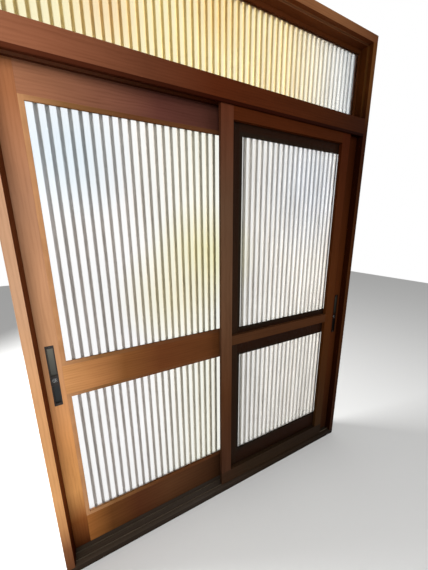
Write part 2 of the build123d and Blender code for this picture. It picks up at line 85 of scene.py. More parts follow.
class Shader:
    # Short hand for laying out one material's nodes
    def __init__(self, name):
        self.material = bpy.data.materials.new(name)
        self.material.use_nodes = True
        self.tree = self.material.node_tree
        self.tree.nodes.clear()
        self.output = self.tree.nodes.new("ShaderNodeOutputMaterial")
        self.surface = self.tree.nodes.new("ShaderNodeBsdfPrincipled")
        self.tree.links.new(self.surface.outputs[0], self.output.inputs[0])
        self.coordinates = self.tree.nodes.new("ShaderNodeTexCoord")

    def add(self, kind, **values):
        node = self.tree.nodes.new(kind)
        for key, value in values.items():
            setattr(node, key, value)
        return node

    def link(self, source, target):
        self.tree.links.new(source, target)

    def setSurface(self, **values):
        for key, value in values.items():
            self.surface.inputs[key.replace("_", " ")].default_value = value

    def setColour(self, colour):
        self.link(colour, self.surface.inputs["Base Color"])

    def setRoughness(self, noise, atLow, atHigh, low=0.3, high=0.7):
        # A noise seldom leaves the stretch from low to high
        self.link(self.fit(noise, low, high, atLow, atHigh), self.surface.inputs["Roughness"])

    def mapping(self, scale=(1, 1, 1), place=(0, 0, 0), turn=(0, 0, 0)):
        node = self.add("ShaderNodeMapping")
        node.inputs["Scale"].default_value = scale
        node.inputs["Location"].default_value = place
        node.inputs["Rotation"].default_value = turn
        self.link(self.coordinates.outputs["Object"], node.inputs["Vector"])
        return node.outputs[0]

    def noise(self, vector, scale, detail=4, roughness=0.55, distortion=0.0):
        node = self.add("ShaderNodeTexNoise")
        node.inputs["Scale"].default_value = scale
        node.inputs["Detail"].default_value = detail
        node.inputs["Roughness"].default_value = roughness
        node.inputs["Distortion"].default_value = distortion
        self.link(vector, node.inputs["Vector"])
        return node.outputs["Fac"]

    def ramp(self, factor, stops):
        node = self.add("ShaderNodeValToRGB")
        band = node.color_ramp
        while len(band.elements) < len(stops):
            band.elements.new(0.5)
        for element, (position, colour) in zip(band.elements, stops):
            element.position = position
            element.color = (*colour, 1)
        self.link(factor, node.inputs[0])
        return node.outputs[0]

    def fit(self, value, low, high, newLow=0.0, newHigh=1.0):
        node = self.add("ShaderNodeMapRange")
        ends = {"From Min": low, "From Max": high, "To Min": newLow, "To Max": newHigh}
        for key, number in ends.items():
            node.inputs[key].default_value = number
        self.link(value, node.inputs["Value"])
        return node.outputs[0]

    def mix(self, factor, first, second, blend="MIX"):
        node = self.add("ShaderNodeMix", data_type="RGBA", blend_type=blend)
        for value, key in ((factor, "Factor"), (first, "A"), (second, "B")):
            kind = "NodeSocketFloat" if key == "Factor" else "NodeSocketColor"
            socket = next(i for i in node.inputs if i.name == key and i.bl_idname.startswith(kind))
            if hasattr(value, "is_linked"):
                self.link(value, socket)
            elif key == "Factor":
                socket.default_value = value
            else:
                socket.default_value = (*value, 1)
        return next(o for o in node.outputs if o.bl_idname == "NodeSocketColor")

    def maths(self, how, first, second=0.0):
        node = self.add("ShaderNodeMath", operation=how)
        for value, socket in ((first, node.inputs[0]), (second, node.inputs[1])):
            if hasattr(value, "is_linked"):
                self.link(value, socket)
            else:
                socket.default_value = value
        return node.outputs[0]

    def axis(self, index):
        node = self.add("ShaderNodeSeparateXYZ")
        self.link(self.coordinates.outputs["Object"], node.inputs[0])
        return node.outputs[index]

    def normal(self, index):
        node = self.add("ShaderNodeSeparateXYZ")
        self.link(self.coordinates.outputs["Normal"], node.inputs[0])
        return node.outputs[index]

    def distanceFrom(self, index, middle):
        return self.maths("ABSOLUTE", self.maths("SUBTRACT", self.axis(index), middle))

    def bump(self, height, distance, strength=1.0):
        node = self.add("ShaderNodeBump")
        node.inputs["Distance"].default_value = distance
        node.inputs["Strength"].default_value = strength
        self.link(height, node.inputs["Height"])
        self.link(node.outputs[0], self.surface.inputs["Normal"])

    def edge(self, radius, samples=4, flat=0.99, sharp=0.80):
        # 0 on a flat, up to 1 where the rounded normal leaves the true one at an arris
        bevel = self.add("ShaderNodeBevel", samples=samples)
        bevel.inputs["Radius"].default_value = radius
        geometry = self.add("ShaderNodeNewGeometry")
        dot = self.add("ShaderNodeVectorMath", operation="DOT_PRODUCT")
        self.link(bevel.outputs[0], dot.inputs[0])
        self.link(geometry.outputs["Normal"], dot.inputs[1])
        return self.fit(dot.outputs["Value"], flat, sharp)

    def shadeAlong(self, index, stops):
        # Colours read at places along one axis, in metres
        low, high = stops[0][0], stops[-1][0]
        place = self.fit(self.axis(index), low, high)
        placed = [((at - low) / (high - low), linear(*colour)) for at, colour in stops]
        return self.ramp(place, placed)


def linear(red, green, blue):
    # A colour read from 0 to 255, as the shader's linear values
    def one(v):
        v = v / 255
        return v / 12.92 if v <= 0.04045 else ((v + 0.055) / 1.055) ** 2.4
    return (one(red), one(green), one(blue))


# Each timber: the axis its grain runs on, the strength of its figure, its sheen, and the axis its
# colour changes along, with the colours at places on it in metres. These colours hold painted light:
# lighter where the light fell, on the left, and darker away from it, with a painted shadow at the
# feet of the left post and the left door's stile, and the right door painted darker than the left,
# as in shade. Some have more:
# - middle and half: a bead frame's grain is level within half of its middle, and upright beyond
# - pitch and first: the slats of a row differ a little from each other
# - a painted shade: the side of a place on an axis where a face lies in shade, as inside the
#   doors' run, on an underside or on the sill's front, and the tint of that shade
# - outside: the colour of the faces that look outdoors
woodSettings = {
    # Painted shadow darkens the foot of the left post and of the left door's stile
    "leftPost": {
        "grain": "Z", "figure": 0.6, "sheen": 0.50, "along": "Z",
        "paintedShade": ("X", "GREATER_THAN", -0.7785, (0.24, 0.10, 0.04)),
        "colours": [(0.02, (84, 50, 30)), (0.14, (112, 70, 42)), (0.26, (172, 122, 78)),
                    (0.4, (194, 142, 92)), (0.8, (192, 142, 97)), (1.2, (182, 142, 111)),
                    (1.6, (169, 129, 100)), (2.3, (142, 99, 70))]},
    "rightPost": {
        "grain": "Z", "figure": 0.8, "sheen": 0.35, "along": "Z",
        "paintedShade": ("X", "LESS_THAN", 0.7785, (0.55, 0.38, 0.30)),
        "colours": [(0.1, (40, 19, 7)), (0.7, (56, 28, 7)), (1.3, (54, 26, 6)), (1.9, (41, 16, 4)),
                    (2.1, (86, 52, 22))]},
    "headRail": {
        "grain": "X", "figure": 0.7, "sheen": 0.35, "along": "X",
        "paintedShade": ("Z", "LESS_THAN", 1.8905, (0.30, 0.20, 0.16)),
        "colours": [(-0.8, (142, 91, 65)), (-0.6, (122, 74, 51)), (-0.35, (87, 48, 30)),
                    (-0.1, (74, 32, 13)), (0.4, (61, 27, 9)), (0.8, (42, 18, 7))]},
    "transomHead": {
        "grain": "X", "figure": 0.7, "sheen": 0.35, "along": "X",
        "paintedShade": ("Z", "LESS_THAN", 2.2945, (0.50, 0.32, 0.22)),
        "colours": [(-0.8, (165, 112, 80)), (-0.2, (130, 84, 54)), (0.5, (124, 82, 52)),
                    (0.8, (88, 52, 30))]},
    "transomBeads": {
        "grain": "both", "figure": 0.6, "sheen": 0.35, "along": "X", "middle": 0.0, "half": 0.769,
        "colours": [(-0.8, (136, 79, 46)), (-0.2, (83, 40, 18)), (0.8, (64, 32, 12))]},
    "sill": {
        "grain": "X", "figure": 0.7, "sheen": 0.30, "along": "X",
        "paintedShade": ("Y", "LESS_THAN", -0.0545, (0.46, 0.43, 0.42)),
        "colours": [(-0.8, (66, 55, 45)), (-0.2, (68, 60, 53)), (0.2, (52, 40, 29)),
                    (0.8, (40, 32, 25))]},
    "leftDoorStile": {
        "grain": "Z", "figure": 0.6, "sheen": 0.55, "along": "Z",
        "colours": [(0.04, (66, 32, 14)), (0.18, (122, 70, 32)), (0.34, (200, 142, 84)),
                    (0.6, (202, 141, 86)), (1.0, (186, 138, 100)), (1.5, (168, 122, 92)),
                    (1.8, (150, 96, 62))]},
    "leftDoorFarStile": {
        "grain": "Z", "figure": 0.7, "sheen": 0.40, "along": "Z",
        "colours": [(0.04, (60, 34, 20)), (1.0, (88, 54, 30)), (1.9, (72, 40, 28))]},
    "leftDoorTopRail": {
        "grain": "X", "figure": 0.7, "sheen": 0.40, "along": "X",
        "colours": [(-0.72, (152, 102, 74)), (-0.5, (116, 74, 56)), (-0.3, (84, 48, 40)),
                    (-0.03, (64, 36, 28))]},
    "leftDoorMidRail": {
        "grain": "X", "figure": 0.7, "sheen": 0.45, "along": "X",
        "colours": [(-0.72, (190, 136, 86)), (-0.62, (164, 112, 68)), (-0.5, (112, 70, 36)),
                    (-0.35, (90, 50, 25)), (-0.03, (86, 50, 25))]},
    "leftDoorBottomRail": {
        "grain": "X", "figure": 0.8, "sheen": 0.35, "along": "X",
        "colours": [(-0.72, (146, 92, 46)), (-0.62, (92, 56, 27)), (-0.5, (76, 42, 24)),
                    (-0.35, (80, 50, 30)), (-0.03, (52, 31, 18))]},
    "leftDoorBeads": {
        "grain": "both", "figure": 0.5, "sheen": 0.35, "along": "X", "middle": -0.374, "half": 0.3295,
        "colours": [(-0.72, (176, 128, 88)), (-0.6, (122, 84, 50)), (-0.4, (92, 56, 32)),
                    (-0.03, (80, 48, 28))]},
    # The right door's wood is painted darker than the left door's, as in shade
    "rightDoorStile": {
        "grain": "Z", "figure": 0.8, "sheen": 0.30, "along": "Z",
        "colours": [(0.04, (40, 20, 9)), (0.6, (62, 30, 12)), (1.2, (66, 31, 11)), (1.8, (44, 16, 4))]},
    "rightDoorFarStile": {
        "grain": "Z", "figure": 0.8, "sheen": 0.30, "along": "Z",
        "colours": [(0.04, (34, 20, 10)), (1.0, (42, 26, 15)), (1.9, (30, 13, 5))]},
    "rightDoorRail": {
        "grain": "X", "figure": 0.8, "sheen": 0.30, "along": "X",
        "colours": [(0.03, (36, 18, 8)), (0.4, (34, 16, 7)), (0.75, (39, 18, 8))]},
    "rightDoorBeads": {
        "grain": "both", "figure": 0.5, "sheen": 0.30, "along": "X", "middle": 0.374, "half": 0.3295,
        "colours": [(0.03, (31, 22, 14)), (0.4, (31, 19, 10)), (0.75, (34, 18, 9))]},
    "screenStile": {
        "grain": "Z", "figure": 0.8, "sheen": 0.40, "along": "Z",
        "colours": [(0.04, (62, 38, 26)), (0.6, (74, 44, 25)), (1.1, (86, 60, 42)),
                    (1.5, (82, 58, 42)), (1.9, (78, 38, 22))]},
    "screenFarStile": {
        "grain": "Z", "figure": 0.8, "sheen": 0.35, "along": "Z",
        "colours": [(0.04, (47, 30, 13)), (0.7, (64, 33, 10)), (1.2, (68, 33, 11)), (1.9, (54, 19, 5))]},
    "screenTopRail": {
        "grain": "X", "figure": 0.7, "sheen": 0.35, "along": "X",
        "colours": [(-0.08, (66, 28, 9)), (0.7, (54, 22, 5))]},
    "screenMidRail": {
        "grain": "X", "figure": 0.7, "sheen": 0.40, "along": "X",
        "colours": [(-0.08, (65, 40, 23)), (0.7, (67, 38, 20))]},
    "screenBottomRail": {
        "grain": "X", "figure": 0.8, "sheen": 0.35, "along": "X",
        "colours": [(-0.08, (53, 34, 22)), (0.1, (42, 30, 19)), (0.7, (31, 21, 13))]},
    # The slats of both lattices are painted lighter towards the right with daylight from outdoors on
    # their sides; the faces that look outdoors keep the wood's own colour
    "lattice": {
        "grain": "Z", "figure": 1.0, "sheen": 0.25, "along": "X", "pitch": 0.0305, "first": -0.679,
        "outside": (150, 112, 80),
        "colours": [(-0.8, (164, 156, 150)), (-0.1, (172, 166, 158)), (0.1, (190, 186, 180)),
                    (0.8, (238, 233, 226))]},
    "transomLattice": {
        "grain": "Z", "figure": 1.0, "sheen": 0.25, "along": "X", "pitch": 0.0284, "first": -0.7465,
        "outside": (150, 112, 80),
        "colours": [(-0.8, (192, 178, 150)), (-0.2, (206, 192, 162)), (0.3, (228, 218, 190)),
                    (0.8, (226, 220, 214))]},
}

# What all the timbers share. A stretch draws a pattern out along the grain.
grainSettings = {
    "fibres": {"stretch": 0.03, "scale": 420, "detail": 4, "roughness": 0.55, "distortion": 0.1},
    "streaks": {"stretch": 0.05, "scale": 85, "detail": 4, "roughness": 0.6, "distortion": 0.5},
    "broad": {"stretch": 0.2, "scale": 14, "detail": 3, "roughness": 0.5, "distortion": 0.3},
    "rings": {"Scale": 31, "Distortion": 5.0, "Detail": 3, "Detail Scale": 1.4},
    "ringStretch": 0.16, "ringPlace": (0.13, 0.31, 0.09),
    "ringLean": (0.5, 0.3),  # degrees across the grain
    "fibreShare": 0.45, "streakShare": 0.40, "ringShare": 0.15,
    "early": 0.30, "plain": 0.50, "late": 0.70,  # where the figure is darkest, plain and lightest
    "darkBy": (0.24, 0.28, 0.32), "lightBy": (0.10, 0.11, 0.12),
    "broadTones": [(0.3, (0.88, 0.87, 0.86)), (0.7, (1.07, 1.07, 1.08))],
    "slatTones": [(0.0, (0.90, 0.90, 0.90)), (1.0, (1.05, 1.04, 1.03))],
    "outward": 0.7,  # how far a face's normal leans outdoors, to count as an outdoor face
    "wornWidth": 0.0014, "wornShare": 0.25, "wornTint": (1.7, 1.6, 1.5),
    "dullest": 0.66, "polish": 0.3, "earlyRougher": 0.08, "lateSmoother": 0.06,
    "specular": 0.03, "reliefDepth": 0.00018, "relief": 0.45,
}


def stretched(amount, axis):
    return (1, 1, amount) if axis == "Z" else (amount, 1, 1)


def grainNoise(shader, layer, axis):
    vector = shader.mapping(stretched(layer["stretch"], axis))
    return shader.noise(vector, layer["scale"], layer["detail"], layer["roughness"], layer["distortion"])


def makeFigure(shader, g, axis):
    # Fine fibres, wider streaks and slow growth lines
    rings = shader.add("ShaderNodeTexWave", wave_type="RINGS", rings_direction=axis)
    for key, value in g["rings"].items():
        rings.inputs[key].default_value = value
    first, second = (math.radians(angle) for angle in g["ringLean"])
    lean = (first, second, 0) if axis == "Z" else (0, second, first)
    vector = shader.mapping(stretched(g["ringStretch"], axis), g["ringPlace"], lean)
    shader.link(vector, rings.inputs["Vector"])
    fibres = shader.maths("MULTIPLY", grainNoise(shader, g["fibres"], axis), g["fibreShare"])
    streaks = shader.maths("MULTIPLY", grainNoise(shader, g["streaks"], axis), g["streakShare"])
    lines = shader.maths("MULTIPLY", rings.outputs["Fac"], g["ringShare"])
    return shader.maths("ADD", shader.maths("ADD", fibres, streaks), lines)


def makeWood(name, s, g):
    shader = Shader(name)
    if s["grain"] == "both":
        isUpright = shader.maths("GREATER_THAN", shader.distanceFrom(0, s["middle"]), s["half"])
        isLevel = shader.maths("SUBTRACT", 1, isUpright)
        level = shader.maths("MULTIPLY", makeFigure(shader, g, "X"), isLevel)
        upright = shader.maths("MULTIPLY", makeFigure(shader, g, "Z"), isUpright)
        grain = shader.maths("ADD", level, upright)
    else:
        grain = makeFigure(shader, g, s["grain"])
    colour = shader.shadeAlong("XYZ".index(s["along"]), s["colours"])
    if "outside" in s:
        isOutward = shader.maths("GREATER_THAN", shader.normal(1), g["outward"])
        colour = shader.mix(isOutward, colour, linear(*s["outside"]))
    figure = shader.ramp(grain, [(g["early"], [1 - part * s["figure"] for part in g["darkBy"]]),
                                 (g["plain"], (1, 1, 1)),
                                 (g["late"], [1 + part * s["figure"] for part in g["lightBy"]])])
    colour = shader.mix(1.0, colour, figure, "MULTIPLY")
    broad = shader.ramp(grainNoise(shader, g["broad"], s["grain"]), g["broadTones"])
    colour = shader.mix(1.0, colour, broad, "MULTIPLY")
    if "pitch" in s:
        run = shader.maths("DIVIDE", shader.maths("SUBTRACT", shader.axis(0), s["first"]), s["pitch"])
        chance = shader.add("ShaderNodeTexWhiteNoise", noise_dimensions="1D")
        shader.link(shader.maths("FLOOR", shader.maths("ADD", run, 0.5)), chance.inputs["W"])
        slat = shader.ramp(chance.outputs["Value"], g["slatTones"])
        colour = shader.mix(1.0, colour, slat, "MULTIPLY")
    # Painted shade where a face lies in shade: inside the doors' run, on an underside, on the sill's
    # front
    if "paintedShade" in s:
        axis, side, place, paintedTint = s["paintedShade"]
        isPaintedShade = shader.maths(side, shader.axis("XYZ".index(axis)), place)
        colour = shader.mix(isPaintedShade, colour, shader.mix(1.0, colour, paintedTint, "MULTIPLY"))
    lighterArris = shader.maths("MULTIPLY", shader.edge(g["wornWidth"]), g["wornShare"])
    colour = shader.mix(lighterArris, colour, g["wornTint"], "MULTIPLY")
    shader.setColour(colour)
    dull = g["dullest"] - g["polish"] * s["sheen"]
    shader.setRoughness(grain, dull + g["earlyRougher"], dull - g["lateSmoother"])
    shader.setSurface(Specular_IOR_Level=g["specular"] * s["sheen"])
    shader.bump(grain, g["reliefDepth"], g["relief"])
    return shader.material


# Each glass: its roughness, how much it clouds, its colours along X, and the soft round pools of
# colour in it, as (x, z, radius, colour). The colours and the pools are painted outdoor light,
# warm and cool, showing through the frosted glass.
glassSettings = {
    "doorGlass": {
        "roughness": 0.34, "cloudBy": 0.05,
        "paintedLightPools": [(-0.12, 1.28, 0.26, (250, 247, 208)), (-0.28, 1.14, 0.24, (254, 251, 228)),
                  (-0.62, 1.66, 0.24, (230, 241, 248)), (0.50, 1.62, 0.40, (238, 244, 252))],
        "colours": [(-0.78, (255, 255, 255)), (-0.45, (255, 255, 255)), (-0.12, (254, 255, 244)),
                    (0.1, (255, 255, 253)), (0.78, (255, 255, 252))]},
    "transomGlass": {
        "roughness": 0.36, "cloudBy": 0.06,
        "paintedLightPools": [(-0.45, 2.10, 0.14, (255, 232, 188)), (-0.05, 2.22, 0.16, (255, 234, 184))],
        "colours": [(-0.78, (255, 247, 206)), (-0.2, (255, 244, 200)), (0.3, (252, 240, 208)),
                    (0.6, (240, 244, 246)), (0.78, (232, 242, 250))]},
}
frostSettings = {
    "cloud": {"scale": 2.4, "detail": 2, "roughness": 0.5},
    "cloudFrom": 0.35, "clearFrom": 0.62,
    "lightPoolCore": 0.2,  # the part of a tint's radius that has its full colour
    "frost": {"scale": 900, "detail": 3, "roughness": 0.6},
    "roughnessBy": 0.05, "refraction": 1.25, "specular": 0.25,
    "reliefDepth": 0.00008, "relief": 0.4,
}


def makeFrostedGlass(name, s, f):
    shader = Shader(name)
    colour = shader.shadeAlong(0, s["colours"])
    # Soft round pools of painted outdoor light
    for x, z, radius, paintedTint in s["paintedLightPools"]:
        aside = shader.maths("POWER", shader.distanceFrom(0, x), 2)
        above = shader.maths("POWER", shader.distanceFrom(2, z), 2)
        away = shader.maths("SQRT", shader.maths("ADD", aside, above))
        near = shader.fit(away, radius, radius * f["lightPoolCore"])
        colour = shader.mix(near, colour, linear(*paintedTint))
    clouds = shader.ramp(shader.noise(shader.mapping(), **f["cloud"]),
                         [(f["cloudFrom"], (1 - s["cloudBy"],) * 3), (f["clearFrom"], (1, 1, 1))])
    shader.setColour(shader.mix(1.0, colour, clouds, "MULTIPLY"))
    frost = shader.noise(shader.mapping(), **f["frost"])
    shader.setRoughness(frost, s["roughness"] - f["roughnessBy"], s["roughness"] + f["roughnessBy"])
    shader.setSurface(Transmission_Weight=1.0, IOR=f["refraction"], Specular_IOR_Level=f["specular"])
    shader.bump(frost, f["reliefDepth"], f["relief"])
    return shader.material


# Each metal: its colour, roughness, how metallic it is and the stretch of its brush marks, and for
# some the colour and width of the lighter arrises: worn edges, and on the turn a painted glint. A
# dull black one has a gloss of its own.
# The right plate is painted darker than the left, as in shade. A pull plate's dishes, within
# dishHalf of the door's middle plane, take the painted sheen below times dishLight.
metalSettings = {
    "leftPlate": {
        "colour": (37, 31, 29), "roughness": 0.46, "metallic": 0.35, "brushed": (1, 1, 0.15),
        "wearAndGlint": (112, 84, 58), "wearAndGlintWidth": 0.0007, "doorMiddle": 0.0225, "dishLight": 1.0},
    # Painted darker than the left plate, as in shade
    "rightPlate": {
        "colour": (22, 11, 8), "roughness": 0.70, "metallic": 0.0, "brushed": (1, 1, 0.15), "gloss": 0.02,
        "wearAndGlint": (74, 44, 26), "wearAndGlintWidth": 0.0007, "doorMiddle": -0.0075, "dishLight": 0.25},
    "strikePlate": {
        "colour": (52, 49, 46), "roughness": 0.44, "metallic": 0.6, "brushed": (1, 1, 0.15),
        "wearAndGlint": (120, 112, 100), "wearAndGlintWidth": 0.0006},
    # The turn's arrises are painted with bright glints
    "darkTurn": {
        "colour": (60, 60, 62), "roughness": 0.20, "metallic": 0.9, "brushed": (1, 1, 1),
        "wearAndGlint": (255, 255, 252), "wearAndGlintWidth": 0.0013},
    "plainSteel": {"colour": (168, 168, 166), "roughness": 0.36, "metallic": 1.0, "brushed": (0.2, 1, 1)},
    "zincSteel": {"colour": (150, 152, 152), "roughness": 0.48, "metallic": 1.0, "brushed": (1, 1, 1)},
    "darkScrew": {
        "colour": (62, 58, 54), "roughness": 0.38, "metallic": 0.9, "brushed": (1, 1, 1),
        "wearAndGlint": (128, 122, 112), "wearAndGlintWidth": 0.0003},
    "brassTrack": {"colour": (70, 58, 44), "roughness": 0.50, "metallic": 0.6, "brushed": (0.05, 1, 1)},
    "brassBrad": {"colour": (120, 96, 58), "roughness": 0.40, "metallic": 0.9, "brushed": (1, 1, 1)},
}
metalFinish = {
    "brush": {"scale": 500, "detail": 4, "roughness": 0.6},
    "blotch": {"scale": 38, "detail": 4, "roughness": 0.6},
    "blotchTones": [(0.3, 0.8), (0.7, 1.12)],
    # The upper dish is painted grey with a sheen of reflected light, and the lower one with a cold
    # painted reflection
    "dishPaintedSheen": [(0.765, (27, 30, 31)), (0.82, (25, 31, 32)), (0.85, (37, 34, 34)),
                  (0.885, (66, 64, 58)), (0.95, (86, 84, 76)), (1.0, (102, 100, 90))],
    "dishHalf": 0.0125,
    "wearAndGlintShare": 0.7, "gloss": 0.5, "brushSmoother": 0.07, "brushRougher": 0.09,
    "reliefDepth": 0.00005, "relief": 0.3,
}


def makeMetal(name, s, f):
    shader = Shader(name)
    base = Vector(linear(*s["colour"]))
    tones = [(place, tuple(base * light)) for place, light in f["blotchTones"]]
    tone = shader.ramp(shader.noise(shader.mapping(), **f["blotch"]), tones)
    if "doorMiddle" in s:
        isSunk = shader.maths("LESS_THAN", shader.distanceFrom(1, s["doorMiddle"]), f["dishHalf"])
        dish = shader.mix(1.0, shader.shadeAlong(2, f["dishPaintedSheen"]), (s["dishLight"],) * 3, "MULTIPLY")
        tone = shader.mix(isSunk, tone, dish)
    # Lighter arrises: worn edges, and on the turn a painted glint
    if "wearAndGlint" in s:
        lighterArris = shader.maths("MULTIPLY", shader.edge(s["wearAndGlintWidth"]), f["wearAndGlintShare"])
        tone = shader.mix(lighterArris, tone, linear(*s["wearAndGlint"]))
    shader.setColour(tone)
    lines = shader.noise(shader.mapping(s["brushed"]), **f["brush"])
    shader.setRoughness(lines, s["roughness"] - f["brushSmoother"], s["roughness"] + f["brushRougher"])
    shader.setSurface(Metallic=s["metallic"], Specular_IOR_Level=s.get("gloss", f["gloss"]))
    shader.bump(lines, f["reliefDepth"], f["relief"])
    return shader.material


meshYarnSettings = {
    "dust": {"scale": 9, "detail": 4, "roughness": 0.6},
    "colours": [(0.3, (16, 13, 11)), (0.7, (28, 25, 22))],  # from clean to dusty
    "cleanRoughness": 0.55, "dustyRoughness": 0.7, "specular": 0.2,
}


def makeMeshYarn(name, s):
    shader = Shader(name)
    dust = shader.noise(shader.mapping(), **s["dust"])
    shader.setColour(shader.ramp(dust, [(place, linear(*colour)) for place, colour in s["colours"]]))
    shader.setRoughness(dust, s["cleanRoughness"], s["dustyRoughness"])
    shader.setSurface(Specular_IOR_Level=s["specular"])
    return shader.material


woods = {name: makeWood(name, s, grainSettings) for name, s in woodSettings.items()}
glasses = {name: makeFrostedGlass(name, s, frostSettings) for name, s in glassSettings.items()}
metals = {name: makeMetal(name, s, metalFinish) for name, s in metalSettings.items()}
meshYarn = makeMeshYarn("meshYarn", meshYarnSettings)
print("materials made:", len(woods) + len(glasses) + len(metals) + 1)


# Which finish each node of the model takes
finishes = {
    "sill": woods["sill"], "left_jamb": woods["leftPost"], "right_jamb": woods["rightPost"],
    "head_rail": woods["headRail"], "transom_head": woods["transomHead"],
    "transom_beads": woods["transomBeads"], "transom_lattice": woods["transomLattice"],
    "transom_glass": glasses["transomGlass"], "track_rails": metals["brassTrack"],
    "strike_plates": metals["strikePlate"], "screen_mesh": meshYarn,
    "left_outer_stile": woods["leftDoorStile"], "left_meeting_stile": woods["leftDoorFarStile"],
    "left_top_rail": woods["leftDoorTopRail"], "left_mid_rail": woods["leftDoorMidRail"],
    "left_bottom_rail": woods["leftDoorBottomRail"], "left_glazing_beads": woods["leftDoorBeads"],
    "right_outer_stile": woods["rightDoorStile"], "right_meeting_stile": woods["rightDoorFarStile"],
    "right_top_rail": woods["rightDoorRail"], "right_mid_rail": woods["rightDoorRail"],
    "right_bottom_rail": woods["rightDoorRail"], "right_glazing_beads": woods["rightDoorBeads"],
    "screen_left_stile": woods["screenStile"], "screen_right_stile": woods["screenFarStile"],
    "screen_top_rail": woods["screenTopRail"], "screen_mid_rail": woods["screenMidRail"],
    "screen_bottom_rail": woods["screenBottomRail"], "screen_battens": woods["screenMidRail"],
}
# The same for what the doors and the screen each have, by the rest of its name
sharedFinishes = {
    "lattice": woods["lattice"], "upper_glass": glasses["doorGlass"],
    "lower_glass": glasses["doorGlass"], "thumb_turn": metals["darkTurn"],
    "hook_bolt": metals["plainSteel"], "lock_case": metals["zincSteel"],
    "roller_cases": metals["zincSteel"], "wheel_a": metals["plainSteel"], "wheel_b": metals["plainSteel"],
}
for name, piece in nodes.items():
    side, _, rest = name.partition("_")
    if name in finishes:
        finish = finishes[name]
    elif rest in ("lock_plate", "outside_plate"):
        finish = metals[side + "Plate"]
    else:
        finish = sharedFinishes[rest]
    piece.data.materials.clear()
    piece.data.materials.append(finish)
print("finishes given to the frame's nodes")


# Geometry Nodes trees: a layer of wires, and a fastener set at points or spaced round a path

class Tree:
    # Short hand for a geometry tree with named inputs
    def __init__(self, name, **inputs):
        self.tree = bpy.data.node_groups.new(name, "GeometryNodeTree")
        face = self.tree.interface
        face.new_socket("Geometry", in_out="INPUT", socket_type="NodeSocketGeometry")
        face.new_socket("Geometry", in_out="OUTPUT", socket_type="NodeSocketGeometry")
        self.keys = {}
        for key, kind in inputs.items():
            socket = face.new_socket(key, in_out="INPUT", socket_type="NodeSocket" + kind)
            self.keys[key] = socket.identifier
        self.given = self.tree.nodes.new("NodeGroupInput")
        self.result = self.tree.nodes.new("NodeGroupOutput")

    def add(self, kind, links=None, **values):
        node = self.tree.nodes.new(kind)
        for key, value in values.items():
            setattr(node, key, value)
        for key, source in (links or {}).items():
            if isinstance(source, str):
                source = self.given.outputs[source]
            if hasattr(source, "is_linked"):
                self.tree.links.new(source, node.inputs[key])
            else:
                node.inputs[key].default_value = source
        return node

    def finish(self, instances):
        whole = self.add("GeometryNodeRealizeInstances", {"Geometry": instances})
        dressed = self.add("GeometryNodeSetMaterial",
                           {"Geometry": whole.outputs[0], "Material": "finish"})
        self.tree.links.new(dressed.outputs[0], self.result.inputs[0])
        return self

    def run(self, name, source=None, **values):
        # The evaluated result as a plain mesh
        carrier = bpy.data.objects.new(name, source or bpy.data.meshes.new(name))
        bpy.context.scene.collection.objects.link(carrier)
        modifier = carrier.modifiers.new(name, "NODES")
        modifier.node_group = self.tree
        for key, value in values.items():
            modifier[self.keys[key]] = value
        graph = bpy.context.evaluated_depsgraph_get()
        mesh = bpy.data.meshes.new_from_object(carrier.evaluated_get(graph), depsgraph=graph)
        bpy.data.objects.remove(carrier)
        return mesh


def joinMeshes(name, meshes):
    # One piece of several meshes of one finish
    vertices, faces = [], []
    for mesh in meshes:
        first = len(vertices)
        vertices += [tuple(v.co) for v in mesh.vertices]
        faces += [tuple(first + i for i in p.vertices) for p in mesh.polygons]
    joined = bpy.data.meshes.new(name)
    joined.from_pydata(vertices, [], faces)
    joined.materials.append(next(m for m in meshes[0].materials if m))  # the first slot is empty
    piece = bpy.data.objects.new(name, joined)
    bpy.context.scene.collection.objects.link(piece)
    return piece


# Insect mesh: two layers of fine wires
meshSettings = {
    "pitch": 0.0016,
    "wire": 0.00006,
    "inset": 0.0005,  # from the cloth's edge
    "layerShift": 0.52,  # of a wire, from the cloth's middle to each layer's
}


def wireTree():
    tree = Tree("wireLayer", start="Vector", step="Vector", wireSize="Vector", count="Int",
                finish="Material")
    row = tree.add("GeometryNodeMeshLine",
                   {"Count": "count", "Start Location": "start", "Offset": "step"})
    wire = tree.add("GeometryNodeMeshCube", {"Size": "wireSize"})
    placed = tree.add("GeometryNodeInstanceOnPoints",
                      {"Points": row.outputs[0], "Instance": wire.outputs[0]})
    return tree.finish(placed.outputs[0])


def makeMesh(s):
    low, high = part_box("screen_mesh")
    tree = wireTree()
    wide = high.x - low.x - 2 * s["inset"]
    tall = high.z - low.z - 2 * s["inset"]
    runs = (("uprightWires", wide, tall, 0, -1), ("levelWires", tall, wide, 2, 1))
    layers = []
    for name, span, long, axis, side in runs:
        count = int(span / s["pitch"])
        start = (low + high) / 2
        start[axis] -= (count - 1) * s["pitch"] / 2
        start.y += side * s["wire"] * s["layerShift"]
        step = Vector((0, 0, 0))
        step[axis] = s["pitch"]
        size = Vector((s["wire"],) * 3)
        size[2 - axis] = long
        layers.append(tree.run(name, start=start, step=step, wireSize=size, count=count,
                               finish=meshYarn))
    piece = joinMeshes("insectMesh", layers)
    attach(piece, "screen")
    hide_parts("screen_mesh")
    print("insect mesh:", len(piece.data.polygons), "faces")


makeMesh(meshSettings)


